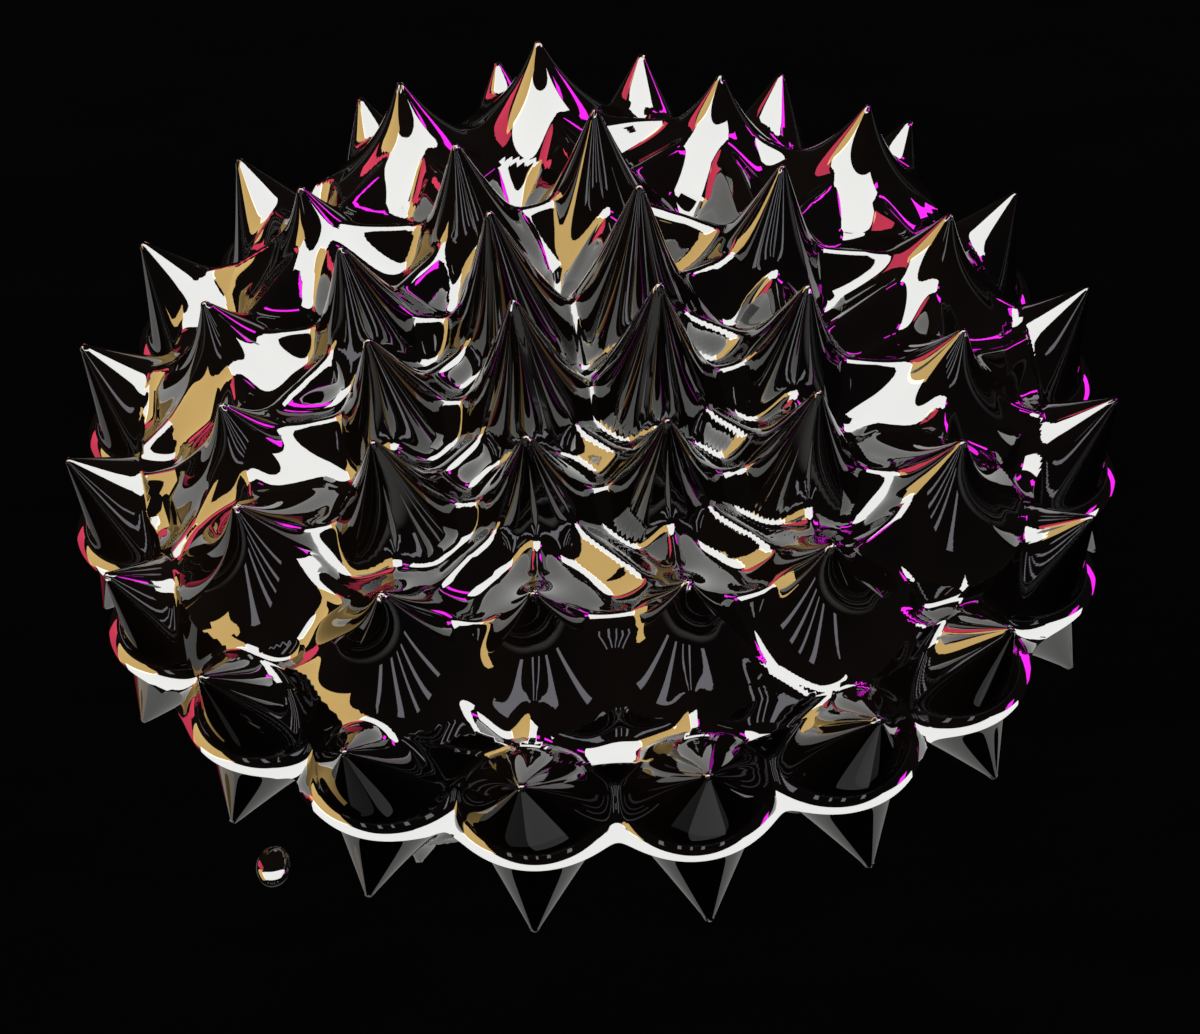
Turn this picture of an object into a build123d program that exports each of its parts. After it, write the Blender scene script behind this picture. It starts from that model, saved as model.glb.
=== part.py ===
from build123d import *
import os
from math import cos, pi, radians, sin, tan

# A ferrofluid desk sculpture. A pool of black magnetic liquid stands in spikes on a black glass dish, over a
# strong disc magnet. The magnet rides on a carriage inside a round base. Turning the knob on the right-hand
# side lowers the magnet by a rack and pinion, and the spikes sink; turning it back raises them again.
# The dish lifts out of the base for cleaning.
#
# Millimetres. +Z is up, the viewer sits on the -Y side, and the origin is the middle of the pad's underside.

# ---- driving dimensions: the base, from the desk upwards ----
PAD_R, PAD_TOP = 67.0, 2.0
PLATE_TOP = 6.0
SHELL_BOTTOM = 1.0
SHELL_R = 75.5
SHELL_WALL = 4.0
SHELL_TOP = 61.6
SHOULDER = 1.0
FLANGE_INNER_R, FLANGE_TOP = 63.5, 14.0
SEAT_INNER_R, SEAT_T = 61.0, 5.0
DECK_BOTTOM, DECK_TOP = 51.0, 54.0
DECK_HOLE_R = 30.0
GASKET_T = 1.0

# ---- driving dimensions: the dish and the fluid ----
DISH_R = 71.1
DISH_FLOOR_T = 3.0
DISH_WALL = 3.1
DISH_RIM_TOP = 62.5
DISH_FILLET = 2.5
POOL_R = 27.2
POOL_CROWN = 8.0
POOL_EDGE_R, POOL_EDGE_TOP = 27.0, 5.0
DROPLET_R = 1.1
DROPLET_AT = (-17.5, -28.9)

# ---- driving dimensions: the magnet lift ----
LIFT_TRAVEL = 18.0
MAGNET_R, MAGNET_T = 25.0, 12.0
MAGNET_GAP = 0.5
CUP_R, CUP_FLOOR = 28.0, 3.0
CARRIAGE_T = 4.0
ROD_R, ROD_Y = 2.5, 41.0
BUSH_R, BUSH_LENGTH = 4.0, 12.0
MODULE, PINION_TEETH = 1.0, 16
PRESSURE_ANGLE = radians(20)
BACKLASH = 0.12
SHAFT_Z, SHAFT_R = 28.7, 3.0
PINION_X, GEAR_WIDTH = 36.0, 8.0
KNOB_R, KNOB_LENGTH = 15.0, 15.0
RUNNING_CLEARANCE = 0.04
SCREW_R = 1.5

# ---- sizes that follow from those ----
SHELL_INNER_R = SHELL_R - SHELL_WALL
SEAT_BOTTOM = DECK_BOTTOM - SEAT_T
DISH_BOTTOM = DECK_TOP + GASKET_T
FLOOR_Z = DISH_BOTTOM + DISH_FLOOR_T
MAGNET_TOP = DISH_BOTTOM - MAGNET_GAP
CUP_TOP = MAGNET_TOP - 0.5
CUP_BOTTOM = MAGNET_TOP - MAGNET_T - CUP_FLOOR
CARRIAGE_BOTTOM = CUP_BOTTOM - CARRIAGE_T
BUSH_BOTTOM = CARRIAGE_BOTTOM - 4.0
PITCH_R = MODULE * PINION_TEETH / 2
TOOTH_PITCH = pi * MODULE

# The spikes stand in four rings: the azimuth of each tip in degrees, from the front (-Y) towards the right,
# with its distance from the middle. The outer ring is even, and the inner ones sit as the fluid settled.
OUTER_COUNT, OUTER_FIRST = 20, -8.5
OUTER_RING = [(OUTER_FIRST + 360 / OUTER_COUNT * i, 29.8) for i in range(OUTER_COUNT)]
SECOND_RING = [
    (351, 21.5), (12, 21.5), (32, 22.5), (58, 23), (80, 21), (106, 22), (133, 24), (156, 22),
    (185, 24.5), (207, 23.5), (235, 20), (265, 21.5), (288, 21), (307, 23.5), (332, 23.5),
]
THIRD_RING = [
    (346, 14), (17, 13.5), (46, 16.5), (75, 12.5), (121, 13.5),
    (175, 13), (214, 12.5), (262, 13.5), (296, 13), (320, 17.5),
]
INNER_RING = [(330, 7.5), (34, 7), (125, 4), (262, 5)]

# Per ring: the tips' height over the dish floor, the lean away from the middle, the half angle at the tip,
# and the depth and radius at which the flared spike has sunk into the pool.
RINGS = [
    (OUTER_RING, 6.3, 37, 34, 7.6, 5.8),
    (SECOND_RING, 11.5, 20, 24, 6.5, 6.2),
    (THIRD_RING, 15.0, 11, 18, 9.0, 5.9),
    (INNER_RING, 18.0, 5, 14, 11.5, 5.6),
]
TIP_R = 0.3


def on_circle(radius, azimuth):
    """X and Y of a point at an azimuth in degrees from the front (-Y) towards the right (+X)."""
    return radius * sin(radians(azimuth)), -radius * cos(radians(azimuth))


def finish_part(builder, name):
    builder.part.label = name
    export_step(builder.part, f"parts/{name}.step")


def tube_along_x(x_start, length, outer_r, inner_r):
    """A tube, bush or washer on the drive shaft's axis."""
    with BuildPart() as tube:
        with BuildSketch(Plane.YZ.offset(x_start)):
            with Locations((0, SHAFT_Z)):
                Circle(outer_r)
                if inner_r:
                    Circle(inner_r, mode=Mode.SUBTRACT)
        extrude(amount=length)
    return tube


def tube_upright(x, y, z_start, length, outer_r, inner_r):
    """A tube or sleeve on an upright axis."""
    with BuildPart() as tube:
        with BuildSketch(Plane.XY.offset(z_start)):
            with Locations((x, y)):
                Circle(outer_r)
                if inner_r:
                    Circle(inner_r, mode=Mode.SUBTRACT)
        extrude(amount=length)
    return tube


def cap_screw(thread_r, length, head_r, head_height, socket_across):
    """A socket head screw, its head's underside at the origin and its thread along -Z."""
    with BuildPart() as screw:
        with BuildSketch(Plane.XY):
            Circle(head_r)
        extrude(amount=head_height)
        chamfer(screw.faces().sort_by(Axis.Z)[-1].edges(), 0.25)
        with BuildSketch(Plane.XY.offset(head_height)):
            RegularPolygon(socket_across / 2, 6, major_radius=False)
        extrude(amount=-head_height * 0.55, mode=Mode.SUBTRACT)
        with BuildSketch(Plane.XY):
            Circle(thread_r)
        extrude(amount=-length)
    return screw


def flat_screw(thread_r, length, head_r, socket_across):
    """A countersunk screw, its flat head's top at the origin and its thread along -Z."""
    cone = head_r - thread_r
    with BuildPart() as screw:
        with BuildSketch(Plane.XZ):
            with BuildLine():
                Polyline((0, 0), (head_r, 0), (thread_r, -cone), (thread_r, -length), (0, -length), close=True)
            make_face()
        revolve(axis=Axis.Z)
        with BuildSketch(Plane.XY):
            RegularPolygon(socket_across / 2, 6, major_radius=False)
        extrude(amount=-cone * 0.8, mode=Mode.SUBTRACT)
    return screw


def placed_copies(screw, planes, name):
    """One node of identical fasteners, each a separate solid."""
    copies = [screw.part.moved(plane.location) for plane in planes]
    group = Compound(label=name, children=copies)
    export_step(group, f"parts/{name}.step")


os.makedirs("parts", exist_ok=True)

# ================= the base =================

BASE_SCREW_AT = [on_circle((FLANGE_INNER_R + SHELL_INNER_R) / 2, azimuth) for azimuth in (45, 135, 225, 315)]
DECK_SCREW_AT = [on_circle((SEAT_INNER_R + SHELL_INNER_R) / 2, azimuth) for azimuth in (30, 150, 270)]
BRACKET_X, BRACKET_T = 31.0, 4.0
BRACKET_FOOT_X, BRACKET_FOOT_LENGTH = BRACKET_X + 0.5, 7.0
BRACKET_SCREW_AT = [(BRACKET_FOOT_X, -6.0), (BRACKET_FOOT_X, 6.0)]
COUNTERSINK_R = 3.2

with BuildPart() as base_pad:
    with BuildSketch(Plane.XY):
        Circle(PAD_R)
    extrude(amount=PAD_TOP)
    chamfer(base_pad.faces().sort_by(Axis.Z)[0].edges(), 0.4)
finish_part(base_pad, "base_pad")

with BuildPart() as base_plate:
    with BuildSketch(Plane.XY.offset(PAD_TOP)):
        Circle(SHELL_INNER_R - 0.1)
    extrude(amount=PLATE_TOP - PAD_TOP)
    with BuildSketch(Plane.XY.offset(PAD_TOP)):
        with Locations((0, ROD_Y), (0, -ROD_Y)):
            Circle(ROD_R)
        with Locations(*BRACKET_SCREW_AT):
            Circle(SCREW_R + 0.05)
    extrude(amount=PLATE_TOP - PAD_TOP, mode=Mode.SUBTRACT)
    with Locations(*[Plane((x, y, PAD_TOP), z_dir=(0, 0, -1)) for x, y in BASE_SCREW_AT + BRACKET_SCREW_AT]):
        CounterSinkHole(SCREW_R + 0.05, COUNTERSINK_R)
finish_part(base_plate, "base_plate")

# The shell: a turned drum, open at both ends, with a flange for the base screws, a shoulder that the seat ring
# is pressed down to, and a boss with a bore for the drive shaft's bush.
BUSH_BORE_R = 5.0
SHAFT_BOSS_X = 65.5
SPOT_FACE_X = SHELL_R - 0.6
with BuildPart() as base_shell:
    with BuildSketch(Plane.XZ):
        with BuildLine():
            Polyline(
                (SHELL_INNER_R, SHELL_BOTTOM),
                (SHELL_R, SHELL_BOTTOM),
                (SHELL_R, SHELL_TOP),
                (SHELL_INNER_R, SHELL_TOP),
                (SHELL_INNER_R, SEAT_BOTTOM),
                (SHELL_INNER_R - SHOULDER, SEAT_BOTTOM),
                (SHELL_INNER_R - SHOULDER, FLANGE_TOP),
                (FLANGE_INNER_R, FLANGE_TOP),
                (FLANGE_INNER_R, PLATE_TOP),
                (SHELL_INNER_R, PLATE_TOP),
                close=True,
            )
        make_face()
    revolve(axis=Axis.Z)
    with BuildSketch(Plane.YZ.offset(SHAFT_BOSS_X)):
        with Locations((0, SHAFT_Z)):
            Circle(9)
    extrude(amount=SHELL_INNER_R - SHAFT_BOSS_X)
    with BuildSketch(Plane.XY.offset(PLATE_TOP)):
        with Locations(*BASE_SCREW_AT):
            Circle(SCREW_R + 0.05)
    extrude(amount=FLANGE_TOP - PLATE_TOP, mode=Mode.SUBTRACT)
    with BuildSketch(Plane.YZ.offset(SHAFT_BOSS_X)):
        with Locations((0, SHAFT_Z)):
            Circle(BUSH_BORE_R)
    extrude(amount=12, mode=Mode.SUBTRACT)
    with BuildSketch(Plane.YZ.offset(SPOT_FACE_X)):
        with Locations((0, SHAFT_Z)):
            Circle(8.4)
    extrude(amount=3, mode=Mode.SUBTRACT)
    rims = base_shell.edges().filter_by(GeomType.CIRCLE).filter_by(lambda e: abs(e.radius - SHELL_R) < 0.01)
    fillet(rims.filter_by(lambda e: e.length > 300), 1.2)
finish_part(base_shell, "base_shell")

with BuildPart() as seat_ring:
    with BuildSketch(Plane.XY.offset(SEAT_BOTTOM)):
        Circle(SHELL_INNER_R)
        Circle(SEAT_INNER_R, mode=Mode.SUBTRACT)
        with Locations(*DECK_SCREW_AT):
            Circle(SCREW_R + 0.05, mode=Mode.SUBTRACT)
    extrude(amount=SEAT_T)
finish_part(seat_ring, "seat_ring")

with BuildPart() as deck_plate:
    with BuildSketch(Plane.XY.offset(DECK_BOTTOM)):
        Circle(SHELL_INNER_R - 0.1)
        Circle(DECK_HOLE_R, mode=Mode.SUBTRACT)
        with Locations((0, ROD_Y), (0, -ROD_Y)):
            Circle(ROD_R, mode=Mode.SUBTRACT)
    extrude(amount=DECK_TOP - DECK_BOTTOM)
    with Locations(*[Plane((x, y, DECK_TOP), z_dir=(0, 0, 1)) for x, y in DECK_SCREW_AT]):
        CounterSinkHole(SCREW_R + 0.05, COUNTERSINK_R)
    chamfer(deck_plate.edges().filter_by(lambda e: abs(e.length - 2 * pi * DECK_HOLE_R) < 0.1), 0.5)
finish_part(deck_plate, "deck_plate")

finish_part(tube_upright(0, 0, DECK_TOP, GASKET_T, DISH_R - 1.6, DISH_R - 8.6), "dish_gasket")

flat_head = flat_screw(SCREW_R, 11, COUNTERSINK_R - 0.15, 2.0)
placed_copies(
    flat_head, [Plane((x, y, PAD_TOP), z_dir=(0, 0, -1)) for x, y in BASE_SCREW_AT], "base_screws"
)
short_flat_head = flat_screw(SCREW_R, 9, COUNTERSINK_R - 0.15, 2.0)
placed_copies(
    short_flat_head, [Plane((x, y, DECK_TOP), z_dir=(0, 0, 1)) for x, y in DECK_SCREW_AT], "deck_screws"
)
placed_copies(
    short_flat_head, [Plane((x, y, PAD_TOP), z_dir=(0, 0, -1)) for x, y in BRACKET_SCREW_AT], "bracket_screws"
)

# ================= the guide rods and their stops =================

STOP_R = 5.0
for side, rod_y in (("front", -ROD_Y), ("rear", ROD_Y)):
    with BuildPart() as guide_rod:
        with BuildSketch(Plane.XY.offset(PAD_TOP + 1)):
            with Locations((0, rod_y)):
                Circle(ROD_R)
        extrude(amount=DECK_TOP - 0.5 - PAD_TOP - 1)
        chamfer(guide_rod.faces().filter_by(Axis.Z).edges(), 0.4)
    finish_part(guide_rod, f"guide_rod_{side}")

lowest_bush = BUSH_BOTTOM - LIFT_TRAVEL
highest_bush = BUSH_BOTTOM + BUSH_LENGTH
for name, z_start, z_end in (
    ("lower_stops", PLATE_TOP, lowest_bush - 0.1),
    ("upper_stops", highest_bush + 0.1, DECK_BOTTOM),
):
    with BuildPart() as stops:
        with BuildSketch(Plane.XY.offset(z_start)):
            with Locations((0, ROD_Y), (0, -ROD_Y)):
                Circle(STOP_R)
                Circle(ROD_R + RUNNING_CLEARANCE, mode=Mode.SUBTRACT)
        extrude(amount=z_end - z_start)
        chamfer(stops.faces().filter_by(Axis.Z).edges().filter_by(lambda e: e.length > 2 * pi * 4), 0.5)
    finish_part(stops, name)

# ================= the magnet and its carriage =================

with BuildPart() as magnet:
    with BuildSketch(Plane.XY.offset(MAGNET_TOP - MAGNET_T)):
        Circle(MAGNET_R)
    extrude(amount=MAGNET_T)
    chamfer(magnet.faces().filter_by(Axis.Z).edges(), 0.6)
finish_part(magnet, "magnet")

CUP_SCREW_AT = [on_circle(15, azimuth) for azimuth in (0, 120, 240)]
with BuildPart() as magnet_cup:
    with BuildSketch(Plane.XY.offset(CUP_BOTTOM)):
        Circle(CUP_R)
    extrude(amount=CUP_TOP - CUP_BOTTOM)
    with BuildSketch(Plane.XY.offset(CUP_TOP)):
        Circle(MAGNET_R + 0.1)
    extrude(amount=-(CUP_TOP - CUP_BOTTOM - CUP_FLOOR), mode=Mode.SUBTRACT)
    with BuildSketch(Plane.XY.offset(CUP_BOTTOM)):
        with Locations(*CUP_SCREW_AT):
            Circle(SCREW_R + 0.05)
    extrude(amount=CUP_FLOOR, mode=Mode.SUBTRACT)
    chamfer(magnet_cup.faces().sort_by(Axis.Z)[-1].edges(), 0.5)
    chamfer(magnet_cup.faces().sort_by(Axis.Z)[0].edges().filter_by(lambda e: e.length > 100), 0.8)
finish_part(magnet_cup, "magnet_cup")

# The carriage: a plate with two arms for the guide bushes and a third one that holds the rack upright.
RACK_BACK_Y = PITCH_R + 6.0
RACK_FLANGE_T = 4.0
RACK_SCREW_Z = (CARRIAGE_BOTTOM - 3.0, CARRIAGE_BOTTOM + 8.0)
ARM_WIDTH = 15.0
with BuildPart() as carriage:
    with BuildSketch(Plane.XY.offset(CARRIAGE_BOTTOM)):
        Circle(24)
        Rectangle(ARM_WIDTH, 2 * ROD_Y)
        with Locations((0, ROD_Y), (0, -ROD_Y)):
            Circle(6.5)
        with Locations((27, RACK_BACK_Y + RACK_FLANGE_T)):
            Rectangle(34, 2 * RACK_FLANGE_T)
        with Locations(*CUP_SCREW_AT):
            Circle(SCREW_R + 0.1, mode=Mode.SUBTRACT)
        with Locations((0, ROD_Y), (0, -ROD_Y)):
            Circle(BUSH_R, mode=Mode.SUBTRACT)
    extrude(amount=CARRIAGE_T)
    with BuildSketch(Plane.XZ.offset(-RACK_BACK_Y)):
        with Locations((PINION_X + GEAR_WIDTH / 2, CARRIAGE_BOTTOM + 3.5)):
            RectangleRounded(GEAR_WIDTH, 20, 2)
    extrude(amount=-RACK_FLANGE_T)
    with BuildSketch(Plane.XZ.offset(-RACK_BACK_Y)):
        with Locations(*[(PINION_X + GEAR_WIDTH / 2, z) for z in RACK_SCREW_Z]):
            Circle(1.3)
    extrude(amount=-RACK_FLANGE_T, mode=Mode.SUBTRACT)
finish_part(carriage, "carriage")

cup_screw = cap_screw(SCREW_R, CARRIAGE_T + 2.5, 2.75, 3.0, 2.5)
placed_copies(
    cup_screw, [Plane((x, y, CARRIAGE_BOTTOM), z_dir=(0, 0, -1)) for x, y in CUP_SCREW_AT], "cup_screws"
)

for side, rod_y in (("front", -ROD_Y), ("rear", ROD_Y)):
    with BuildPart() as guide_bush:
        with BuildSketch(Plane.XY.offset(BUSH_BOTTOM)):
            with Locations((0, rod_y)):
                Circle(BUSH_R)
        extrude(amount=BUSH_LENGTH)
        with BuildSketch(Plane.XY.offset(CARRIAGE_BOTTOM - 1.2)):
            with Locations((0, rod_y)):
                Circle(BUSH_R + 1.2)
        extrude(amount=1.2)
        with BuildSketch(Plane.XY.offset(BUSH_BOTTOM)):
            with Locations((0, rod_y)):
                Circle(ROD_R + RUNNING_CLEARANCE)
        extrude(amount=BUSH_LENGTH, mode=Mode.SUBTRACT)
    finish_part(guide_bush, f"guide_bush_{side}")

# ================= the rack and pinion =================


def involute_flank(base_r, tip_r, steps=6):
    """Points of an involute from its base circle to the tip circle, starting on the local X axis."""
    points = []
    t_end = ((tip_r / base_r) ** 2 - 1) ** 0.5
    for step in range(steps + 1):
        t = t_end * step / steps
        points.append((base_r * (cos(t) + t * sin(t)), base_r * (sin(t) - t * cos(t))))
    return points


def turned(point, angle):
    x, y = point
    return x * cos(angle) - y * sin(angle), x * sin(angle) + y * cos(angle)


BASE_CIRCLE_R = PITCH_R * cos(PRESSURE_ANGLE)
PINION_TIP_R = PITCH_R + MODULE
PINION_ROOT_R = PITCH_R - 1.25 * MODULE
half_tooth = (TOOTH_PITCH / 2 - BACKLASH) / 2 / PITCH_R
flank_at_pitch = tan(PRESSURE_ANGLE) - PRESSURE_ANGLE
lower_flank = [turned(p, -half_tooth - flank_at_pitch) for p in involute_flank(BASE_CIRCLE_R, PINION_TIP_R)]
upper_flank = [(x, -y) for x, y in lower_flank]
root_inset = 0.5
PINION_PLANE = Plane((PINION_X, 0, SHAFT_Z), x_dir=(0, 1, 0), z_dir=(1, 0, 0))
root_low = turned((PINION_ROOT_R - root_inset, 0), -half_tooth - flank_at_pitch)
root_high = (root_low[0], -root_low[1])
with BuildSketch() as pinion_tooth:
    with BuildLine():
        Polyline(upper_flank[0], root_high, root_low, lower_flank[0])
        Spline(*lower_flank)
        ThreePointArc(lower_flank[-1], (PINION_TIP_R, 0), upper_flank[-1])
        Spline(*reversed(upper_flank))
    make_face()

with BuildPart() as pinion:
    with BuildSketch(PINION_PLANE):
        Circle(PINION_ROOT_R)
        with PolarLocations(0, PINION_TEETH):
            add(pinion_tooth.sketch)
    extrude(amount=GEAR_WIDTH)
    with BuildSketch(PINION_PLANE.offset(GEAR_WIDTH)):
        Circle(6.2)
    extrude(amount=5)
    with BuildSketch(PINION_PLANE):
        Circle(SHAFT_R)
    extrude(amount=GEAR_WIDTH + 5, mode=Mode.SUBTRACT)
    with BuildSketch(Plane.XY.offset(SHAFT_Z + SHAFT_R - 1)):
        with Locations((PINION_X + GEAR_WIDTH + 2.5, 0)):
            Circle(SCREW_R)
    extrude(amount=8, mode=Mode.SUBTRACT)
finish_part(pinion, "pinion")

# The rack's teeth point towards the shaft, and a tooth space faces the shaft at rest.
RACK_ADDENDUM = 0.85
RACK_BOTTOM = SHAFT_Z - 4.3
RACK_TOP = SHAFT_Z + LIFT_TRAVEL + 4.0
rack_root_y = PITCH_R + 1.25 * MODULE
rack_tip_y = PITCH_R - RACK_ADDENDUM
with BuildPart() as rack:
    with BuildSketch(Plane.YZ.offset(PINION_X)):
        with Locations(((rack_root_y + RACK_BACK_Y) / 2, (RACK_BOTTOM + RACK_TOP) / 2)):
            Rectangle(RACK_BACK_Y - rack_root_y, RACK_TOP - RACK_BOTTOM)
        half_root = (TOOTH_PITCH / 2 - BACKLASH) / 2 + 1.25 * MODULE * tan(PRESSURE_ANGLE)
        half_tip = (TOOTH_PITCH / 2 - BACKLASH) / 2 - RACK_ADDENDUM * tan(PRESSURE_ANGLE)
        for tooth in range(-1, 7):
            tooth_z = SHAFT_Z + (tooth + 0.5) * TOOTH_PITCH
            with BuildLine():
                Polyline(
                    (rack_root_y + 0.2, tooth_z - half_root),
                    (rack_root_y, tooth_z - half_root),
                    (rack_tip_y, tooth_z - half_tip),
                    (rack_tip_y, tooth_z + half_tip),
                    (rack_root_y, tooth_z + half_root),
                    (rack_root_y + 0.2, tooth_z + half_root),
                    close=True,
                )
            make_face()
    extrude(amount=GEAR_WIDTH)
    with BuildSketch(Plane.XZ.offset(-RACK_BACK_Y)):
        with Locations(*[(PINION_X + GEAR_WIDTH / 2, z) for z in RACK_SCREW_Z]):
            Circle(1.3)
    extrude(amount=4, mode=Mode.SUBTRACT)
finish_part(rack, "rack")

rack_screw = cap_screw(1.25, RACK_FLANGE_T + 3.5, 2.25, 2.5, 2.0)
flange_outer_y = RACK_BACK_Y + RACK_FLANGE_T
placed_copies(
    rack_screw,
    [Plane((PINION_X + GEAR_WIDTH / 2, flange_outer_y, z), z_dir=(0, 1, 0)) for z in RACK_SCREW_Z],
    "rack_screws",
)

# ================= the drive shaft, its bearings and the knob =================

SHAFT_START = 29.2
KNOB_X = SPOT_FACE_X + 1.4
KNOB_BORE_DEPTH = 11.0
with BuildPart() as drive_shaft:
    with BuildSketch(Plane.YZ.offset(SHAFT_START)):
        with Locations((0, SHAFT_Z)):
            Circle(SHAFT_R)
    extrude(amount=KNOB_X + KNOB_BORE_DEPTH - SHAFT_START)
    chamfer(drive_shaft.faces().filter_by(Axis.X).edges(), 0.4)
    with BuildSketch(Plane.YZ.offset(SHAFT_START + 0.8)):
        with Locations((0, SHAFT_Z)):
            Circle(SHAFT_R)
            Circle(SHAFT_R - 0.6, mode=Mode.SUBTRACT)
    extrude(amount=0.9, mode=Mode.SUBTRACT)
finish_part(drive_shaft, "drive_shaft")

with BuildPart() as shaft_bracket:
    with BuildSketch(Plane.YZ.offset(BRACKET_X)):
        with BuildLine():
            Polyline((-9, PLATE_TOP), (9, PLATE_TOP), (8, SHAFT_Z), (-8, SHAFT_Z), close=True)
        make_face()
        with Locations((0, SHAFT_Z)):
            Circle(8)
            Circle(4.5, mode=Mode.SUBTRACT)
    extrude(amount=BRACKET_T)
    with BuildSketch(Plane.XY.offset(PLATE_TOP)):
        with Locations((BRACKET_FOOT_X, 0)):
            RectangleRounded(BRACKET_FOOT_LENGTH, 18, 1.5)
    extrude(amount=4)
    with BuildSketch(Plane.XY.offset(PLATE_TOP)):
        with Locations(*BRACKET_SCREW_AT):
            Circle(SCREW_R + 0.05)
    extrude(amount=6.5, mode=Mode.SUBTRACT)
finish_part(shaft_bracket, "shaft_bracket")

with BuildPart() as shaft_bush_inner:
    with BuildSketch(Plane.YZ.offset(BRACKET_X)):
        with Locations((0, SHAFT_Z)):
            Circle(4.5)
            Circle(SHAFT_R + RUNNING_CLEARANCE, mode=Mode.SUBTRACT)
    extrude(amount=BRACKET_T + 0.8)
    with BuildSketch(Plane.YZ.offset(BRACKET_X + BRACKET_T)):
        with Locations((0, SHAFT_Z)):
            Circle(6)
            Circle(SHAFT_R + RUNNING_CLEARANCE, mode=Mode.SUBTRACT)
    extrude(amount=0.8)
finish_part(shaft_bush_inner, "shaft_bush_inner")

with BuildPart() as shaft_bush_outer:
    with BuildSketch(Plane.YZ.offset(SHAFT_BOSS_X - 1)):
        with Locations((0, SHAFT_Z)):
            Circle(BUSH_BORE_R)
    extrude(amount=SPOT_FACE_X - SHAFT_BOSS_X + 1)
    with BuildSketch(Plane.YZ.offset(SHAFT_BOSS_X - 1)):
        with Locations((0, SHAFT_Z)):
            Circle(7)
    extrude(amount=1)
    with BuildSketch(Plane.YZ.offset(SHAFT_BOSS_X - 1)):
        with Locations((0, SHAFT_Z)):
            Circle(SHAFT_R + RUNNING_CLEARANCE)
    extrude(amount=SPOT_FACE_X - SHAFT_BOSS_X + 1, mode=Mode.SUBTRACT)
finish_part(shaft_bush_outer, "shaft_bush_outer")

finish_part(tube_along_x(SPOT_FACE_X + 0.1, 1.2, 7.5, SHAFT_R), "friction_washer")

with BuildPart() as retaining_clip:
    with BuildSketch(Plane.YZ.offset(SHAFT_START + 0.85)):
        with Locations((0, SHAFT_Z)):
            Circle(5)
            Circle(SHAFT_R - 0.6, mode=Mode.SUBTRACT)
        with Locations((0, SHAFT_Z - 4)):
            Rectangle(3.4, 5, mode=Mode.SUBTRACT)
    extrude(amount=0.8)
finish_part(retaining_clip, "retaining_clip")

# The knob: a turned grip with fine flutes, a dished face and a pointer dimple.
FLUTES = 36
with BuildPart() as knob:
    with BuildSketch(Plane.YZ.offset(KNOB_X)):
        with Locations((0, SHAFT_Z)):
            Circle(KNOB_R)
    extrude(amount=KNOB_LENGTH)
    fillet(knob.faces().sort_by(Axis.X)[-1].edges(), 1.2)
    chamfer(knob.faces().sort_by(Axis.X)[0].edges(), 1.0)
    with BuildSketch(Plane.YZ.offset(KNOB_X + KNOB_LENGTH)):
        with Locations((0, SHAFT_Z)):
            Circle(KNOB_R - 3.5)
    extrude(amount=-0.8, mode=Mode.SUBTRACT)
    with BuildSketch(Plane.YZ.offset(KNOB_X + 2.5)):
        with Locations((0, SHAFT_Z)):
            with PolarLocations(KNOB_R + 0.35, FLUTES):
                Circle(0.8)
    extrude(amount=KNOB_LENGTH - 5, mode=Mode.SUBTRACT)
    with BuildSketch(Plane.YZ.offset(KNOB_X + KNOB_LENGTH - 1.6)):
        with Locations((0, SHAFT_Z + KNOB_R - 6.5)):
            Circle(1.1)
    extrude(amount=2, mode=Mode.SUBTRACT)
    with BuildSketch(Plane.YZ.offset(KNOB_X)):
        with Locations((0, SHAFT_Z)):
            Circle(SHAFT_R)
    extrude(amount=KNOB_BORE_DEPTH, mode=Mode.SUBTRACT)
    with BuildSketch(Plane.XY.offset(SHAFT_Z)):
        with Locations((KNOB_X + 5, 0)):
            Circle(SCREW_R)
    extrude(amount=KNOB_R + 1, mode=Mode.SUBTRACT)
finish_part(knob, "knob")


def set_screw(x, z_start, length):
    """A headless socket screw that bears on the shaft from above."""
    with BuildPart() as screw:
        with BuildSketch(Plane.XY.offset(z_start)):
            with Locations((x, 0)):
                Circle(SCREW_R)
        extrude(amount=length)
        with BuildSketch(Plane.XY.offset(z_start + length)):
            with Locations((x, 0)):
                RegularPolygon(0.75, 6, major_radius=False)
        extrude(amount=-1.6, mode=Mode.SUBTRACT)
    return screw


finish_part(set_screw(PINION_X + GEAR_WIDTH + 2.5, SHAFT_Z + SHAFT_R, 3.0), "pinion_set_screw")
finish_part(set_screw(KNOB_X + 5, SHAFT_Z + SHAFT_R, 8.0), "knob_set_screw")

# ================= the dish =================

with BuildPart() as dish:
    with BuildSketch(Plane.XZ):
        with BuildLine():
            Polyline(
                (0, DISH_BOTTOM),
                (DISH_R, DISH_BOTTOM),
                (DISH_R, DISH_RIM_TOP),
                (DISH_R - DISH_WALL, DISH_RIM_TOP),
                (DISH_R - DISH_WALL, FLOOR_Z),
                (0, FLOOR_Z),
                close=True,
            )
        make_face()
    revolve(axis=Axis.Z)
    inner_corner = dish.edges().filter_by(
        lambda e: abs(e.center().Z - FLOOR_Z) < 0.01 and abs(e.length - 2 * pi * (DISH_R - DISH_WALL)) < 0.1
    )
    fillet(inner_corner, DISH_FILLET)
    fillet(dish.edges().filter_by(lambda e: abs(e.center().Z - DISH_RIM_TOP) < 0.01 and e.length > 300), 1.4)
    fillet(dish.edges().filter_by(lambda e: abs(e.center().Z - DISH_BOTTOM) < 0.01 and e.length > 300), 1.0)
finish_part(dish, "dish")

# ================= the ferrofluid =================


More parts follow.
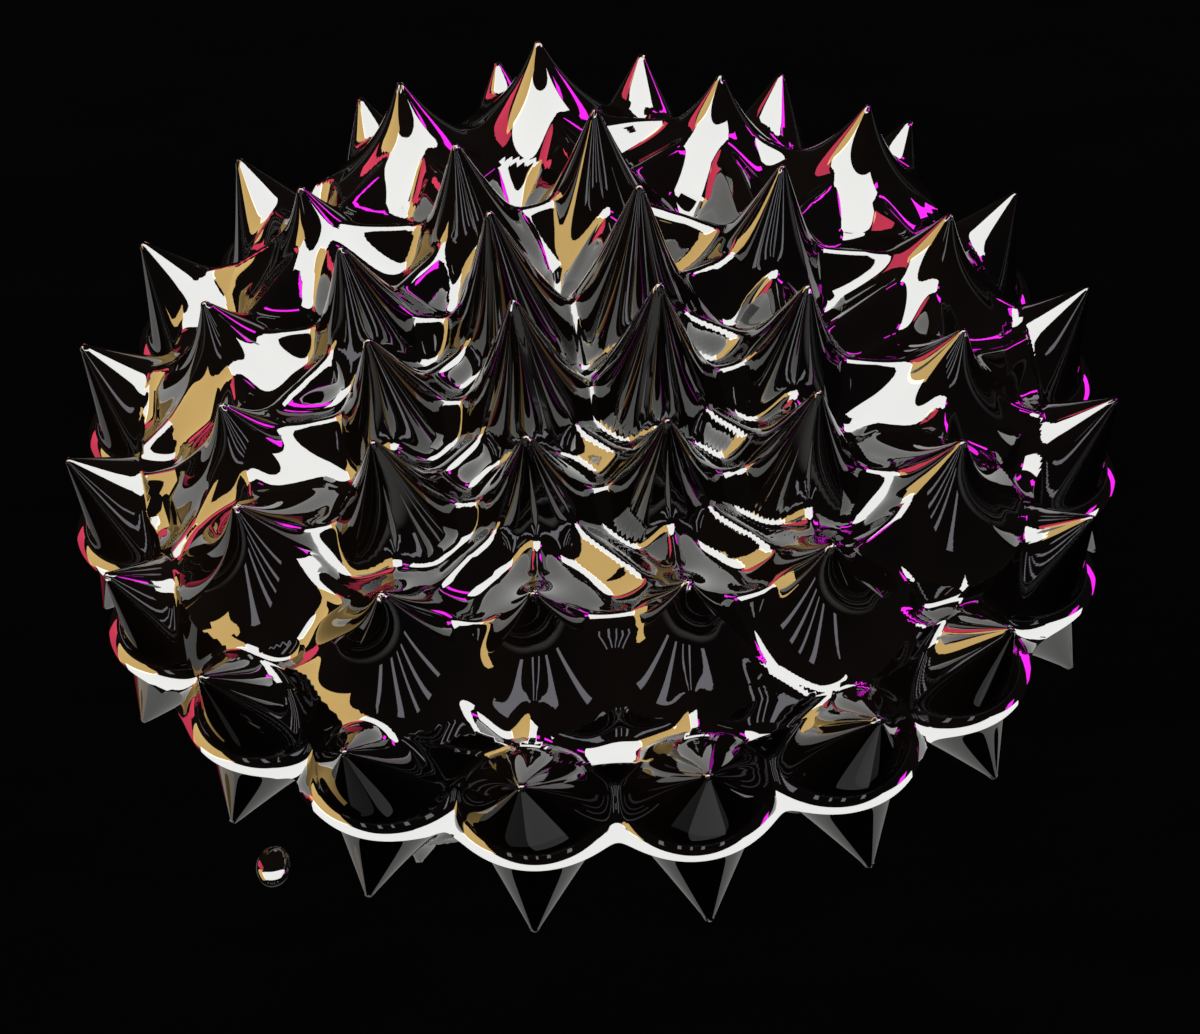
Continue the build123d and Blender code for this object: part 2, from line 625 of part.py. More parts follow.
def spike_solid(tip_half_angle, depth, base_r):
    """An upright spike, its rounded tip's top at the origin, that flares out to base_r at depth."""
    slope = radians(tip_half_angle)
    touch = (TIP_R * cos(slope), -TIP_R + TIP_R * sin(slope))
    middle = (slope + pi / 2) / 2
    with BuildPart() as spike:
        with BuildSketch(Plane.XZ):
            with BuildLine():
                ThreePointArc((0, 0), (TIP_R * cos(middle), -TIP_R + TIP_R * sin(middle)), touch)
                TangentArc(touch, (base_r, -depth), tangent=(sin(slope), -cos(slope)))
                Polyline((base_r, -depth), (0, -depth), (0, 0))
            make_face()
        revolve(axis=Axis.Z)
    return spike.part


spikes = []
for ring, tip_height, lean, tip_half_angle, depth, base_r in RINGS:
    spike = spike_solid(tip_half_angle, depth, base_r)
    for azimuth, radius in ring:
        x, y = on_circle(radius, azimuth)
        x_lean, y_lean = on_circle(sin(radians(lean)), azimuth)
        up = (x_lean, y_lean, cos(radians(lean)))
        spikes.append(spike.moved(Plane((x, y, FLOOR_Z + tip_height), z_dir=up).location))

with BuildPart() as ferrofluid:
    with BuildSketch(Plane.XZ):
        with BuildLine():
            crown = (0, FLOOR_Z + POOL_CROWN)
            pool_edge = (POOL_EDGE_R, FLOOR_Z + POOL_EDGE_TOP)
            ThreePointArc(crown, (POOL_EDGE_R / 2, FLOOR_Z + POOL_CROWN - 0.8), pool_edge)
            Polyline(pool_edge, (POOL_R, FLOOR_Z), (0, FLOOR_Z), crown)
        make_face()
    revolve(axis=Axis.Z)
    add(spikes)
    with Locations((*DROPLET_AT, FLOOR_Z)):
        Sphere(DROPLET_R)
    split(bisect_by=Plane.XY.offset(FLOOR_Z), keep=Keep.TOP)
finish_part(ferrofluid, "ferrofluid")
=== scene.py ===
from math import cos, pi, radians, sin, sqrt, tan

import bpy
import numpy as np
from mathutils import Matrix, Vector


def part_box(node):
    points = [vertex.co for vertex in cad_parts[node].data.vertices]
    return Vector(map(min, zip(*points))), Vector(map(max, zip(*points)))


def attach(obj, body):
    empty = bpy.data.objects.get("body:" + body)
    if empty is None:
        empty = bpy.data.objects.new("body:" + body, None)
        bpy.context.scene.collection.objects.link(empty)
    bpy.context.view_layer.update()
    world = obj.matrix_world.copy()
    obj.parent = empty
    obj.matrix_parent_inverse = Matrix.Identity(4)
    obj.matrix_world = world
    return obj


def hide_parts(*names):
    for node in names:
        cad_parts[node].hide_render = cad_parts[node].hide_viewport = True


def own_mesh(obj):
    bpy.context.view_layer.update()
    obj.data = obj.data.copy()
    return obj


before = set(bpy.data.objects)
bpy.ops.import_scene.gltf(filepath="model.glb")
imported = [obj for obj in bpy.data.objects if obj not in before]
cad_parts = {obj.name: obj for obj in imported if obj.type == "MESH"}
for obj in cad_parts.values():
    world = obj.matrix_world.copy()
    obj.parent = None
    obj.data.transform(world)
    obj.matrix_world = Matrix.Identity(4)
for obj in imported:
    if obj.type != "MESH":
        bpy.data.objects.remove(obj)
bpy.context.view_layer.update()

# A ferrofluid desk sculpture: black magnetic liquid that stands in spikes on a black glass dish. Metres, +Z
# up, with the viewer on the -Y side. The liquid's surface is worked out in millimetres over the dish's floor.

MM = 0.001
FLOOR_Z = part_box("ferrofluid")[0].z
SHAFT_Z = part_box("drive_shaft")[0].lerp(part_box("drive_shaft")[1], 0.5).z

# ---- the spikes ----
# Each ring lists the azimuth of its tips in degrees, from the front (-Y) towards the right, and their
# distance from the middle, as in the CAD model. The outer ring is even. The inner three were not chosen by
# hand: they are rounded from a fit that another program made.
OUTER_COUNT, OUTER_FIRST, OUTER_R = 20, -8.5, 29.8
OUTER_RING = [(OUTER_FIRST + 360 / OUTER_COUNT * i, OUTER_R) for i in range(OUTER_COUNT)]
SECOND_RING = [
    (351, 21.5), (12, 21.5), (32, 22.5), (58, 23), (80, 21), (106, 22), (133, 24), (156, 22),
    (185, 24.5), (207, 23.5), (235, 20), (265, 21.5), (288, 21), (307, 23.5), (332, 23.5),
]
THIRD_RING = [
    (346, 14), (17, 13.5), (46, 16.5), (75, 12.5), (121, 13.5),
    (175, 13), (214, 12.5), (262, 13.5), (296, 13), (320, 17.5),
]
INNER_RING = [(330, 7.5), (34, 7), (125, 4), (262, 5)]

# Per ring: the tips' height, the lean away from the middle, the half angle at the tip, how much a spike
# flares out further and at what depth, how deep it reaches into the pool, and the depth at which the ridges to
# its neighbours set off.
# The tips' heights rest on the same fit as the inner rings' places.
RINGS = [
    (OUTER_RING, 6.3, 34, 30, 0.1, 5.5, 9.0, 3.0),
    (SECOND_RING, 11.5, 15, 29, 0.9, 4.4, 8.5, 3.6),
    (THIRD_RING, 15.0, 9, 23, 0.4, 6.5, 11.0, 5.8),
    (INNER_RING, 18.0, 5, 20, 0.3, 8.5, 14.0, 7.6),
]
TIP_R = 0.22
FLARE_LIMIT = 1.25          # a spike's flare grows down to this many times its flare depth
BLEND = 0.27                # how softly spikes run into each other and into the pool
POOL_R, POOL_TOP = 25.7, 3.2
# Sharp ridges join neighbouring spikes. Their height by distance from the middle of the pool, and how steeply
# and from how round a top they fall to either side.
# The ridges' heights rest on that fit too, with small changes.
RIDGE_AT = (4, 10, 13.5, 17.5, 21, 24, 27.5)
RIDGE_TOP = (10.4, 9.9, 9.4, 9.0, 8.1, 5.6, 4.2)
RIDGE_FALL, RIDGE_R = 1.3, 0.35
# The liquid's foot spreads out by FOOT_FLARE, which dies away over FOOT_FLARE_HEIGHT.
FOOT_FLARE, FOOT_FLARE_HEIGHT = 0.80, 0.26

# ---- the surface grid ----
GRID = 308                  # cells along each side of the liquid's surface grid
GRID_PULL = 0.45            # cells at a tip are this share of their size elsewhere
PULL_REACH = 0.48           # how far the pull goes, as a share of the way to the nearest tip
EDGE_CROWDING = 1.2         # above 1, the cells are narrower towards the liquid's edge
FAN_R = 24.0                # how far out the lines along which the surface is looked for start
SEARCH_STEP, SEARCH_STEPS, HALVINGS = 1.0, 60, 12
NORMAL_REACH = 0.01

# ---- the drop beside the pool ----
DROPLET_ROWS, DROPLET_STEPS, DROPLET_BLUNTNESS = 16, 48, 2.4
DROPLET_AT, DROPLET_R, DROPLET_HEIGHT, DROPLET_OVAL = (-17.5, -28.9), 1.05, 0.4, 0.85


def on_circle(radius, azimuth):
    """X and Y at an azimuth in degrees from the front (-Y) towards the right (+X)."""
    return radius * sin(radians(azimuth)), -radius * cos(radians(azimuth))


def spike_list():
    """Every spike as (tip, axis, steepness, flare, flare depth, reach, where its ridges set off)."""
    spikes = []
    for ring, height, lean, half_angle, flare, flare_depth, reach, ridge_depth in RINGS:
        steepness = tan(radians(half_angle))
        for azimuth, radius in ring:
            tip = np.array([*on_circle(radius, azimuth), height])
            axis = np.array([*on_circle(sin(radians(lean)), azimuth), cos(radians(lean))])
            ridge_start = (tip - axis * ridge_depth)[:2]
            spikes.append((tip, axis, steepness, flare, flare_depth, reach, ridge_start))
    return spikes


def ridge_list(spikes):
    """The ridges between neighbouring spikes, as pairs of points: no third spike is as near their middle."""
    starts = np.array([spike[-1] for spike in spikes])
    ridges = []
    for i, start in enumerate(starts):
        for j in range(i + 1, len(starts)):
            middle = (start + starts[j]) / 2
            others = np.delete(starts, [i, j], axis=0)
            if np.hypot(*(others - middle).T).min() > np.hypot(*(start - middle)):
                ridges.append((start, starts[j]))
    return ridges


def outside(points, spikes, ridges):
    """About how far points lie outside the liquid, in millimetres. Its spikes, ridges and pool are in a soft
    union."""
    x, y, z = points.T
    radius = np.hypot(x, y)
    beyond = radius - POOL_R
    pool = np.logaddexp((z - POOL_TOP) / BLEND, beyond / BLEND) * BLEND
    total = np.exp(-pool / BLEND)
    for tip, axis, steepness, flare, flare_depth, reach, _ in spikes:
        offset = points - (tip - axis * TIP_R)
        depth = -(offset @ axis)
        away = np.sqrt(np.maximum((offset ** 2).sum(1) - depth ** 2, 0))
        share = np.clip(depth / flare_depth, 0, FLARE_LIMIT)
        width = steepness * np.maximum(depth, 0) + flare * share ** 3
        slope = steepness + 3 * flare / flare_depth * share ** 2
        flank_gap = (away - width) / np.sqrt(1 + slope ** 2)
        gap = np.where(away * slope + depth < 0, np.hypot(away, depth), flank_gap) - TIP_R
        total += np.exp(-np.maximum(gap, depth - reach) / BLEND)
    ridge_top = np.interp(radius, RIDGE_AT, RIDGE_TOP)
    for start, end in ridges:
        along = end - start
        share = np.clip(((points[:, :2] - start) @ along) / (along @ along), 0, 1)
        away = np.hypot(x - start[0] - share * along[0], y - start[1] - share * along[1])
        fall = RIDGE_FALL * (np.hypot(away, RIDGE_R) - RIDGE_R)
        gap = (z - ridge_top + fall) / sqrt(1 + RIDGE_FALL ** 2)
        total += np.exp(-np.maximum(gap, beyond) / BLEND)
    flare_out = FOOT_FLARE * np.exp(-z / FOOT_FLARE_HEIGHT)
    return -BLEND * np.log(total) - flare_out


def fan(disc):
    """Start points and directions of the lines on which the surface is looked for, for points of the unit
    disc. They stand upright in the middle, lean out more and more, and lie flat on the dish at its edge."""
    rho = np.minimum(np.hypot(*disc.T), 1)
    around = disc / np.maximum(rho, 1e-9)[:, None]
    start_r = FAN_R * np.sin(rho * pi / 2)
    lean = rho ** 3 * pi / 2
    starts = np.column_stack([around * start_r[:, None], np.zeros(len(disc))])
    directions = np.column_stack([around * np.sin(lean)[:, None], np.cos(lean)])
    return starts, directions


def disc_place(tip):
    """The point of the unit disc whose line runs through a spike's tip."""
    low, high = 0.0, 1.0
    radius = np.hypot(tip[0], tip[1])
    for _ in range(40):
        rho = (low + high) / 2
        reach = FAN_R * sin(rho * pi / 2) + tip[2] * tan(rho ** 3 * pi / 2)
        low, high = (rho, high) if reach < radius else (low, rho)
    return tip[:2] / radius * rho


def square_to_disc(cells):
    """A grid of points over the unit disc, mapped from a square grid ring by ring and crowded at the edge."""
    line = np.linspace(-1, 1, cells + 1)
    x, y = [values.ravel() for values in np.meshgrid(line, line)]
    wide = np.abs(x) > np.abs(y)
    rho = np.where(wide, x, y)
    ratio = np.where(wide, y, x) / np.where(rho == 0, 1, rho)
    turn = np.where(wide, ratio * pi / 4, pi / 2 - ratio * pi / 4)
    rho = np.sign(rho) * (1 - (1 - np.abs(rho)) ** EDGE_CROWDING)
    return np.column_stack([rho * np.cos(turn), rho * np.sin(turn)])


def pull_towards(disc, places):
    """Draws the grid's points closer together round each spike's place, where the surface bends most."""
    moved = disc.copy()
    for i, place in enumerate(places):
        others = np.delete(places, i, axis=0)
        reach = PULL_REACH * np.hypot(*(others - place).T).min()
        offset = disc - place
        distance = np.hypot(*offset.T)
        near = distance < reach
        share = GRID_PULL + (1 - GRID_PULL) * distance[near] / reach
        moved[near] = place + offset[near] * share[:, None]
    return moved


def surface_points(disc, spikes, ridges):
    """Follows each line of the fan from inside the liquid to its surface."""
    starts, directions = fan(disc)
    reach = np.zeros(len(disc))
    inside = np.ones(len(disc), bool)
    for _ in range(SEARCH_STEPS):
        ahead = starts[inside] + directions[inside] * (reach[inside] + SEARCH_STEP)[:, None]
        still = outside(ahead, spikes, ridges) < 0
        rows = np.flatnonzero(inside)
        reach[rows[still]] += SEARCH_STEP
        inside[rows[~still]] = False
    low, high = reach, reach + SEARCH_STEP
    for _ in range(HALVINGS):
        middle = (low + high) / 2
        out = outside(starts + directions * middle[:, None], spikes, ridges) > 0
        high = np.where(out, middle, high)
        low = np.where(out, low, middle)
    return starts + directions * ((low + high) / 2)[:, None]


def surface_normals(points, spikes, ridges):
    """The directions straight out of the surface, from how fast the distance outside it grows."""
    here = outside(points, spikes, ridges)
    growth = [outside(points + NORMAL_REACH * axis, spikes, ridges) - here for axis in np.eye(3)]
    normals = np.column_stack(growth)
    return normals / np.linalg.norm(normals, axis=1)[:, None]


def grid_faces(cells):
    """The quads of a square grid of points, and its border as one loop."""
    side = cells + 1
    corner = (np.arange(cells)[:, None] * side + np.arange(cells)).ravel()
    quads = np.column_stack([corner, corner + 1, corner + side + 1, corner + side])
    border = [
        *range(0, cells),
        *range(cells, side * cells + cells, side),
        *range(side * cells + cells, side * cells, -1),
        *range(side * cells, 0, -side),
    ]
    return quads.tolist(), border


def new_object(name, vertices, faces, material):
    mesh = bpy.data.meshes.new(name)
    mesh.from_pydata([tuple(v) for v in vertices], [], faces)
    mesh.polygons.foreach_set("use_smooth", [True] * len(mesh.polygons))
    mesh.materials.append(material)
    mesh.update()
    piece = bpy.data.objects.new(name, mesh)
    bpy.context.scene.collection.objects.link(piece)
    return piece


def droplet():
    """The points and faces of the small drop beside the pool, a low dome."""
    points = [(*DROPLET_AT, DROPLET_HEIGHT)]
    for row in range(1, DROPLET_ROWS + 1):
        share = row / DROPLET_ROWS
        radius = DROPLET_R * sin(share * pi / 2)
        height = DROPLET_HEIGHT * (1 - share ** DROPLET_BLUNTNESS)
        for step in range(DROPLET_STEPS):
            x, y = on_circle(radius, 360 / DROPLET_STEPS * step)
            points.append((DROPLET_AT[0] + x * DROPLET_OVAL, DROPLET_AT[1] + y / DROPLET_OVAL, height))
    faces = [[0, 1 + step, 1 + (step + 1) % DROPLET_STEPS] for step in range(DROPLET_STEPS)]
    for row in range(DROPLET_ROWS - 1):
        first = 1 + row * DROPLET_STEPS
        below = first + DROPLET_STEPS
        for step in range(DROPLET_STEPS):
            beside = (step + 1) % DROPLET_STEPS
            faces.append([first + step, below + step, below + beside, first + beside])
    last = 1 + (DROPLET_ROWS - 1) * DROPLET_STEPS
    faces.append([last + step for step in reversed(range(DROPLET_STEPS))])
    return np.array(points), faces


def make_fluid(material):
    spikes = spike_list()
    places = np.array([disc_place(spike[0]) for spike in spikes])
    disc = pull_towards(square_to_disc(GRID), places)
    ridges = ridge_list(spikes)
    points = surface_points(disc, spikes, ridges)
    normals = surface_normals(points, spikes, ridges)
    quads, border = grid_faces(GRID)
    drop_points, drop_faces = droplet()
    drop_faces = [[corner + len(points) for corner in face] for face in drop_faces]
    vertices = np.vstack([points, drop_points]) * MM + (0, 0, FLOOR_Z)
    piece = new_object("fluid", vertices, quads + [border[::-1]] + drop_faces, material)
    as_meshed = np.zeros((len(drop_points), 3))
    piece.data.normals_split_custom_set_from_vertices(np.vstack([normals, as_meshed]).tolist())
    return piece


# ---- materials ----

def new_material(name, metallic=0.0, ior=1.5):
    material = bpy.data.materials.new(name)
    material.use_nodes = True
    shader = material.node_tree.nodes["Principled BSDF"]
    shader.inputs["Metallic"].default_value = metallic
    shader.inputs["IOR"].default_value = ior
    return material, material.node_tree, shader


def object_places(tree, stretch=(1, 1, 1), offset=(0, 0, 0)):
    """Object coordinates in metres, moved and then stretched."""
    places = tree.nodes.new("ShaderNodeTexCoord")
    moved = tree.nodes.new("ShaderNodeMapping")
    moved.vector_type = "TEXTURE"
    moved.inputs["Location"].default_value = offset
    moved.inputs["Scale"].default_value = [1 / share for share in stretch]
    tree.links.new(places.outputs["Object"], moved.inputs["Vector"])
    return moved.outputs["Vector"]


def noise(tree, places, scale, detail=4.0, roughness=0.55):
    texture = tree.nodes.new("ShaderNodeTexNoise")
    texture.inputs["Scale"].default_value = scale
    texture.inputs["Detail"].default_value = detail
    texture.inputs["Roughness"].default_value = roughness
    tree.links.new(places, texture.inputs["Vector"])
    return texture.outputs["Fac"]


def turning_marks(tree, places, axis, scale):
    """Fine turning marks round an axis through the origin of the places."""
    wave = tree.nodes.new("ShaderNodeTexWave")
    wave.wave_type = "RINGS"
    wave.rings_direction = axis
    wave.inputs["Scale"].default_value = scale
    wave.inputs["Distortion"].default_value = 0.6
    wave.inputs["Detail"].default_value = 3
    tree.links.new(places, wave.inputs["Vector"])
    return wave.outputs["Fac"]


def in_range(tree, value, from_low, from_high, low, high):
    ranged = tree.nodes.new("ShaderNodeMapRange")
    ranged.inputs["From Min"].default_value = from_low
    ranged.inputs["From Max"].default_value = from_high
    ranged.inputs["To Min"].default_value = low
    ranged.inputs["To Max"].default_value = high
    tree.links.new(value, ranged.inputs["Value"])
    return ranged.outputs["Result"]


def colour_between(tree, shader, value, low, high):
    """The base colour: low where the value is 0.3 or less, high where it is 0.7 or more."""
    ramp = tree.nodes.new("ShaderNodeValToRGB")
    ramp.color_ramp.elements[0].position = 0.3
    ramp.color_ramp.elements[1].position = 0.7
    ramp.color_ramp.elements[0].color = (*low, 1)
    ramp.color_ramp.elements[1].color = (*high, 1)
    tree.links.new(value, ramp.inputs["Fac"])
    tree.links.new(ramp.outputs["Color"], shader.inputs["Base Color"])


def roughness_between(tree, shader, value, low, high):
    tree.links.new(in_range(tree, value, 0.3, 0.7, low, high), shader.inputs["Roughness"])


def relief(tree, shader, value, height, strength=0.5):
    """Fine relief of a height in metres."""
    bump = tree.nodes.new("ShaderNodeBump")
    bump.inputs["Distance"].default_value = height
    bump.inputs["Strength"].default_value = strength
    tree.links.new(value, bump.inputs["Height"])
    tree.links.new(bump.outputs["Normal"], shader.inputs["Normal"])


def ferrofluid_material():
    """Black oil with a faint brown cast, mirror smooth."""
    material, tree, shader = new_material("ferrofluid", ior=1.75)
    places = object_places(tree)
    colour_between(tree, shader, noise(tree, places, 60), (0.0005, 0.0004, 0.0004), (0.0016, 0.0010, 0.0007))
    roughness_between(tree, shader, noise(tree, places, 220, 2), 0.012, 0.028)
    return material


def black_glass_material():
    """Polished black glass with the lightest haze of wiping marks and a little dust."""
    material, tree, shader = new_material("black_glass", ior=1.52)
    places = object_places(tree, stretch=(1, 3, 1))
    colour_between(tree, shader, noise(tree, places, 90), (0.0002, 0.0002, 0.00025), (0.0004, 0.0004, 0.0005))
    roughness_between(tree, shader, noise(tree, places, 35, 6), 0.004, 0.014)
    return material


def black_anodised_material():
    """Satin black anodising over faint turning marks."""
    material, tree, shader = new_material("black_anodised", 0.75)
    places = object_places(tree)
    grain = noise(tree, places, 2600, 2)
    turning = noise(tree, object_places(tree, stretch=(1, 1, 60)), 60, 5)
    colour_between(tree, shader, noise(tree, places, 40, 5), (0.030, 0.030, 0.034), (0.052, 0.052, 0.056))
    roughness_between(tree, shader, grain, 0.32, 0.46)
    relief(tree, shader, turning, 0.00002, 0.35)
    return material


def milled_aluminium_material():
    """Bare aluminium with straight milling marks."""
    material, tree, shader = new_material("plain_aluminium", 1.0)
    lines = noise(tree, object_places(tree, stretch=(1, 30, 30)), 90, 6)
    colour_between(tree, shader, lines, (0.50, 0.51, 0.53), (0.68, 0.69, 0.71))
    roughness_between(tree, shader, lines, 0.28, 0.42)
    relief(tree, shader, lines, 0.00003)
    return material


def knob_material():
    """Dark grey anodised aluminium, turned: fine rings round the shaft's axis."""
    material, tree, shader = new_material("knob_aluminium", 1.0)
    places = object_places(tree, offset=(0, 0, SHAFT_Z))
    marks = turning_marks(tree, places, "X", 700)
    colour_between(tree, shader, noise(tree, places, 120, 5), (0.17, 0.17, 0.185), (0.24, 0.24, 0.255))
    roughness_between(tree, shader, marks, 0.22, 0.36)
    relief(tree, shader, marks, 0.00002, 0.4)
    return material


def ground_steel_material():
    """Bright steel with grinding marks along and across it."""
    material, tree, shader = new_material("ground_steel", 1.0)
    marks = noise(tree, object_places(tree, stretch=(4, 4, 60)), 110, 6)
    colour_between(tree, shader, marks, (0.48, 0.48, 0.50), (0.63, 0.63, 0.65))
    roughness_between(tree, shader, marks, 0.14, 0.28)
    relief(tree, shader, marks, 0.00001)
    return material


def zinc_steel_material():
    """Zinc plate: bluish, with cloudy patches."""
    material, tree, shader = new_material("zinc_steel", 1.0)
    clouds = noise(tree, object_places(tree), 130, 7, 0.65)
    colour_between(tree, shader, clouds, (0.44, 0.47, 0.52), (0.60, 0.60, 0.58))
    roughness_between(tree, shader, clouds, 0.26, 0.45)
    relief(tree, shader, noise(tree, object_places(tree), 1500, 2), 0.00002)
    return material


def black_steel_material():
    """Black oxide, oily, with a few worn spots."""
    material, tree, shader = new_material("black_steel", 0.9)
    worn = noise(tree, object_places(tree), 700, 6, 0.7)
    colour_between(tree, shader, worn, (0.030, 0.030, 0.032), (0.075, 0.073, 0.070))
    roughness_between(tree, shader, worn, 0.34, 0.52)
    return material


def nickel_material():
    """Bright nickel plate with fine hairlines."""
    material, tree, shader = new_material("nickel_plate", 1.0)
    hairlines = noise(tree, object_places(tree, stretch=(1, 22, 1)), 140, 5)
    colour_between(tree, shader, hairlines, (0.68, 0.66, 0.61), (0.76, 0.74, 0.70))
    roughness_between(tree, shader, hairlines, 0.07, 0.17)
    return material


def bronze_material():
    """Sintered bronze: dark pores filled with oil."""
    material, tree, shader = new_material("bronze", 1.0)
    grain = noise(tree, object_places(tree), 1800, 4, 0.7)
    colour_between(tree, shader, grain, (0.22, 0.13, 0.07), (0.52, 0.33, 0.17))
    roughness_between(tree, shader, grain, 0.35, 0.6)
    relief(tree, shader, grain, 0.00004)
    return material


def brass_material():
    """Machined brass, turned round the shaft's axis."""
    material, tree, shader = new_material("brass", 1.0)
    places = object_places(tree, offset=(0, 0, SHAFT_Z))
    marks = turning_marks(tree, places, "X", 800)
    colour_between(tree, shader, noise(tree, places, 200, 5), (0.62, 0.42, 0.16), (0.78, 0.57, 0.26))
    roughness_between(tree, shader, marks, 0.18, 0.32)
    relief(tree, shader, marks, 0.00002, 0.4)
    return material


def rubber_material():
    """Matt black rubber with a fine grain and a trace of dust."""
    material, tree, shader = new_material("rubber")
    grain = noise(tree, object_places(tree), 1600, 5, 0.7)
    dust = noise(tree, object_places(tree), 90, 6)
    colour_between(tree, shader, dust, (0.018, 0.018, 0.019), (0.035, 0.034, 0.033))
    roughness_between(tree, shader, grain, 0.7, 0.9)
    relief(tree, shader, grain, 0.00008)
    return material


def silicone_material():
    """Translucent grey silicone."""
    material, tree, shader = new_material("silicone")
    clouds = noise(tree, object_places(tree), 70, 5)
    colour_between(tree, shader, clouds, (0.25, 0.25, 0.26), (0.36, 0.36, 0.37))
    roughness_between(tree, shader, clouds, 0.38, 0.55)
    shader.inputs["Subsurface Weight"].default_value = 0.3
    shader.inputs["Subsurface Radius"].default_value = (0.002, 0.002, 0.002)
    return material


def nylon_material():
    """Natural nylon, faintly mottled."""
    material, tree, shader = new_material("washer_nylon")
    mottle = noise(tree, object_places(tree), 500, 4)
    colour_between(tree, shader, mottle, (0.70, 0.69, 0.64), (0.80, 0.79, 0.75))
    roughness_between(tree, shader, mottle, 0.42, 0.6)
    shader.inputs["Subsurface Weight"].default_value = 0.2
    shader.inputs["Subsurface Radius"].default_value = (0.001, 0.001, 0.001)
    return material


def floor_material():
    """Pale matt board with faint clouding and a fine tooth."""
    material, tree, shader = new_material("floor")
    clouds = noise(tree, object_places(tree), 3, 5)
    colour_between(tree, shader, clouds, (0.74, 0.73, 0.71), (0.80, 0.79, 0.77))
    tooth = noise(tree, object_places(tree), 900, 3)
    roughness_between(tree, shader, tooth, 0.58, 0.75)
    relief(tree, shader, tooth, 0.00005, 0.3)
    return material


MATERIALS = {
    "ferrofluid": ferrofluid_material,
    "black_glass": black_glass_material,
    "black_anodised": black_anodised_material,
    "plain_aluminium": milled_aluminium_material,
    "knob_aluminium": knob_material,
    "ground_steel": ground_steel_material,
    "zinc_steel": zinc_steel_material,
    "black_steel": black_steel_material,
    "nickel_plate": nickel_material,
    "bronze": bronze_material,
    "brass": brass_material,
    "rubber": rubber_material,
    "silicone": silicone_material,
    "washer_nylon": nylon_material,
}
NODES_BY_SLOT = {
    "black_glass": ["dish"],
    "black_anodised": ["base_shell"],
    "plain_aluminium": ["base_plate", "seat_ring", "deck_plate", "shaft_bracket", "carriage"],
    "knob_aluminium": ["knob"],
    "ground_steel": ["guide_rod_front", "guide_rod_rear", "rack", "drive_shaft", "retaining_clip"],
    "zinc_steel": ["magnet_cup"],
    "black_steel": [
        "base_screws", "deck_screws", "bracket_screws", "cup_screws", "rack_screws", "pinion_set_screw",
        "knob_set_screw",
    ],
    "nickel_plate": ["magnet"],
    "bronze": ["shaft_bush_inner", "shaft_bush_outer", "guide_bush_front", "guide_bush_rear"],
    "brass": ["pinion"],
    "rubber": ["base_pad", "lower_stops", "upper_stops"],
    "silicone": ["dish_gasket"],
    "washer_nylon": ["friction_washer"],
}


def cover_nodes(materials):
    for slot, names in NODES_BY_SLOT.items():
        for name in names:
            for material_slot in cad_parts[name].material_slots:
                material_slot.material = materials[slot]


def make_floor():
    """A large pale sheet that the part stands on."""
    far = 3
    vertices = [(-far, -far, 0), (far, -far, 0), (far, far, 0), (-far, far, 0)]
    floor = new_object("floor", vertices, [(0, 1, 2, 3)], floor_material())
    return floor


# ---- camera ----
CAMERA_ELEVATION = 46.85
CAMERA_DISTANCE = 0.1523
CAMERA_AIM = Vector((0.0002, -0.0055, FLOOR_Z))
CAMERA_ROLL = -2.97
CAMERA_LENS = 79.5


def make_camera():
    camera = bpy.data.cameras.new("camera")
    camera.lens = CAMERA_LENS
    camera.clip_start, camera.clip_end = 0.01, 20
    eye = bpy.data.objects.new("camera", camera)
    elevation = radians(CAMERA_ELEVATION)
    back = Vector((0, -cos(elevation), sin(elevation)))
    up = Vector((0, sin(elevation), cos(elevation)))
    right = Vector((1, 0, 0))
    turn = Matrix((right, up, back)).transposed().to_4x4() @ Matrix.Rotation(radians(CAMERA_ROLL), 4, "Z")
    eye.matrix_world = Matrix.Translation(CAMERA_AIM + back * CAMERA_DISTANCE) @ turn
    bpy.context.scene.collection.objects.link(eye)
    bpy.context.scene.camera = eye


# ---- light ----

def light_group(*pieces):
    """A collection for light linking: lights linked to it shine on these pieces only."""
    group = bpy.data.collections.new("lit pieces")
    for piece in pieces:
        group.objects.link(piece)
    return group


def area_light(name, azimuth, elevation, distance, size, strength, colour=(1, 1, 1), only=None):
    """A rectangular light that faces the liquid from an azimuth and elevation in degrees. Its strength is the
    brightness that the liquid mirrors."""
    lamp = bpy.data.lights.new(name, "AREA")
    lamp.shape = "RECTANGLE"
    lamp.size, lamp.size_y = size
    lamp.energy = strength * size[0] * size[1] * pi
    lamp.color = colour
    light = bpy.data.objects.new(name, lamp)
    x, y = on_circle(cos(radians(elevation)), azimuth)
    back = Vector((x, y, sin(radians(elevation))))
    facing = back.to_track_quat("Z", "Y").to_matrix().to_4x4()
    light.matrix_world = Matrix.Translation(Vector((0, 0, FLOOR_Z)) + back * distance) @ facing
    bpy.context.scene.collection.objects.link(light)
    if only:
        light.light_linking.receiver_collection = only
    return light


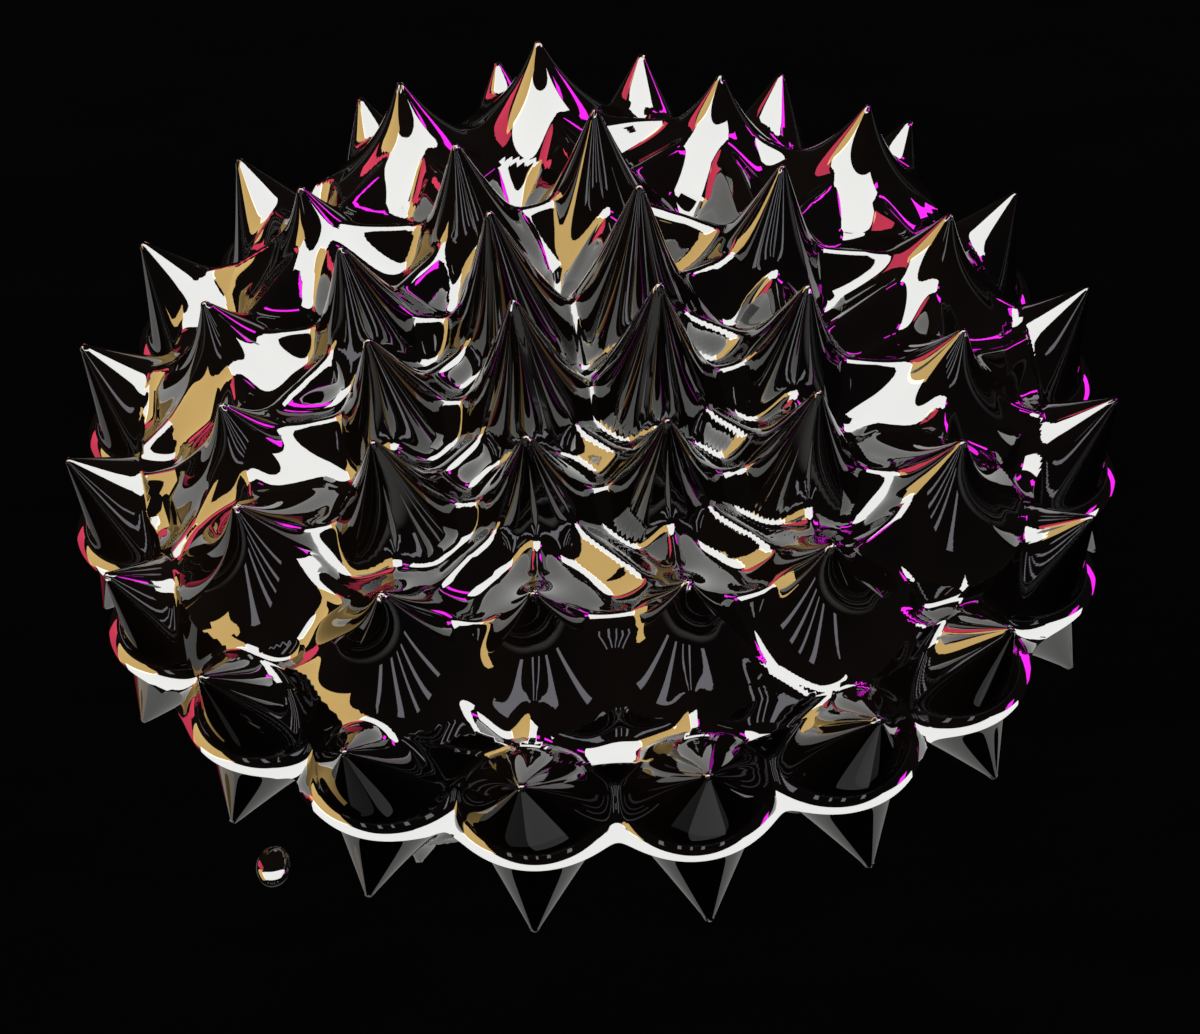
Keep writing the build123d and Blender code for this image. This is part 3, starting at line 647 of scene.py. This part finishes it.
def strip(name, azimuth, elevations, width, strength, colour=(1, 1, 1), only=None, distance=1.0):
    """An upright strip light, from one elevation to another, width degrees wide."""
    low, high = elevations
    height = 2 * distance * tan(radians(high - low) / 2)
    across = 2 * distance * tan(radians(width) / 2)
    size = (across, height)
    return area_light(name, azimuth, (low + high) / 2, distance, size, strength, colour, only=only)


def make_lights(liquid, solids, ground):
    """A white softbox overhead, with gold, red and magenta panels and dim grey strips round the liquid. These
    shine on the liquid only, and soft neutral lights on everything else."""
    area_light("softbox", 0, 89, 1.0, (1.85, 0.78), 11.0, (1.0, 1.0, 0.98), only=liquid)
    strip("gold panel", 270, (14, 50), 44, 7.0, (1.0, 0.66, 0.23), liquid)
    strip("red panel", 234, (6, 50), 12, 6.0, (1.0, 0.07, 0.15), liquid, 0.95)
    strip("magenta lamp", 95, (36, 46), 8, 14.0, (1.0, 0.02, 0.9), liquid)
    strip("magenta lamp low", 128, (6, 40), 7, 12.0, (1.0, 0.02, 0.9), liquid)
    for azimuth, width in ((-38, 5), (-18, 4), (-4, 2.5), (10, 4), (34, 5)):
        strip("grey strip", azimuth, (2, 32), width, 1.8, (0.92, 0.9, 1.0), liquid)
    area_light("room", 20, 62, 1.2, (0.9, 0.9), 5.0, only=solids)
    area_light("ceiling", 0, 80, 1.2, (1.6, 1.2), 1.6, only=solids)
    area_light("room back", 240, 35, 1.3, (0.9, 0.7), 4.0, only=solids)
    area_light("floor light", 20, 75, 1.5, (1.2, 1.2), 3.5, only=ground)


def make_world():
    """Dim, even light from all round."""
    world = bpy.data.worlds.new("world")
    world.use_nodes = True
    background = world.node_tree.nodes["Background"]
    background.inputs["Color"].default_value = (0.9, 0.9, 0.92, 1)
    background.inputs["Strength"].default_value = 0.015
    bpy.context.scene.world = world
    bpy.context.scene.view_settings.view_transform = "Standard"


materials = {slot: make() for slot, make in MATERIALS.items()}
cover_nodes(materials)
fluid = make_fluid(materials["ferrofluid"])
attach(fluid, "dish")
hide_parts("ferrofluid")
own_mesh(fluid)

floor = make_floor()
make_camera()
solid_pieces = [piece for name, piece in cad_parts.items() if name != "ferrofluid"]
make_lights(light_group(fluid), light_group(*solid_pieces), light_group(floor))
make_world()
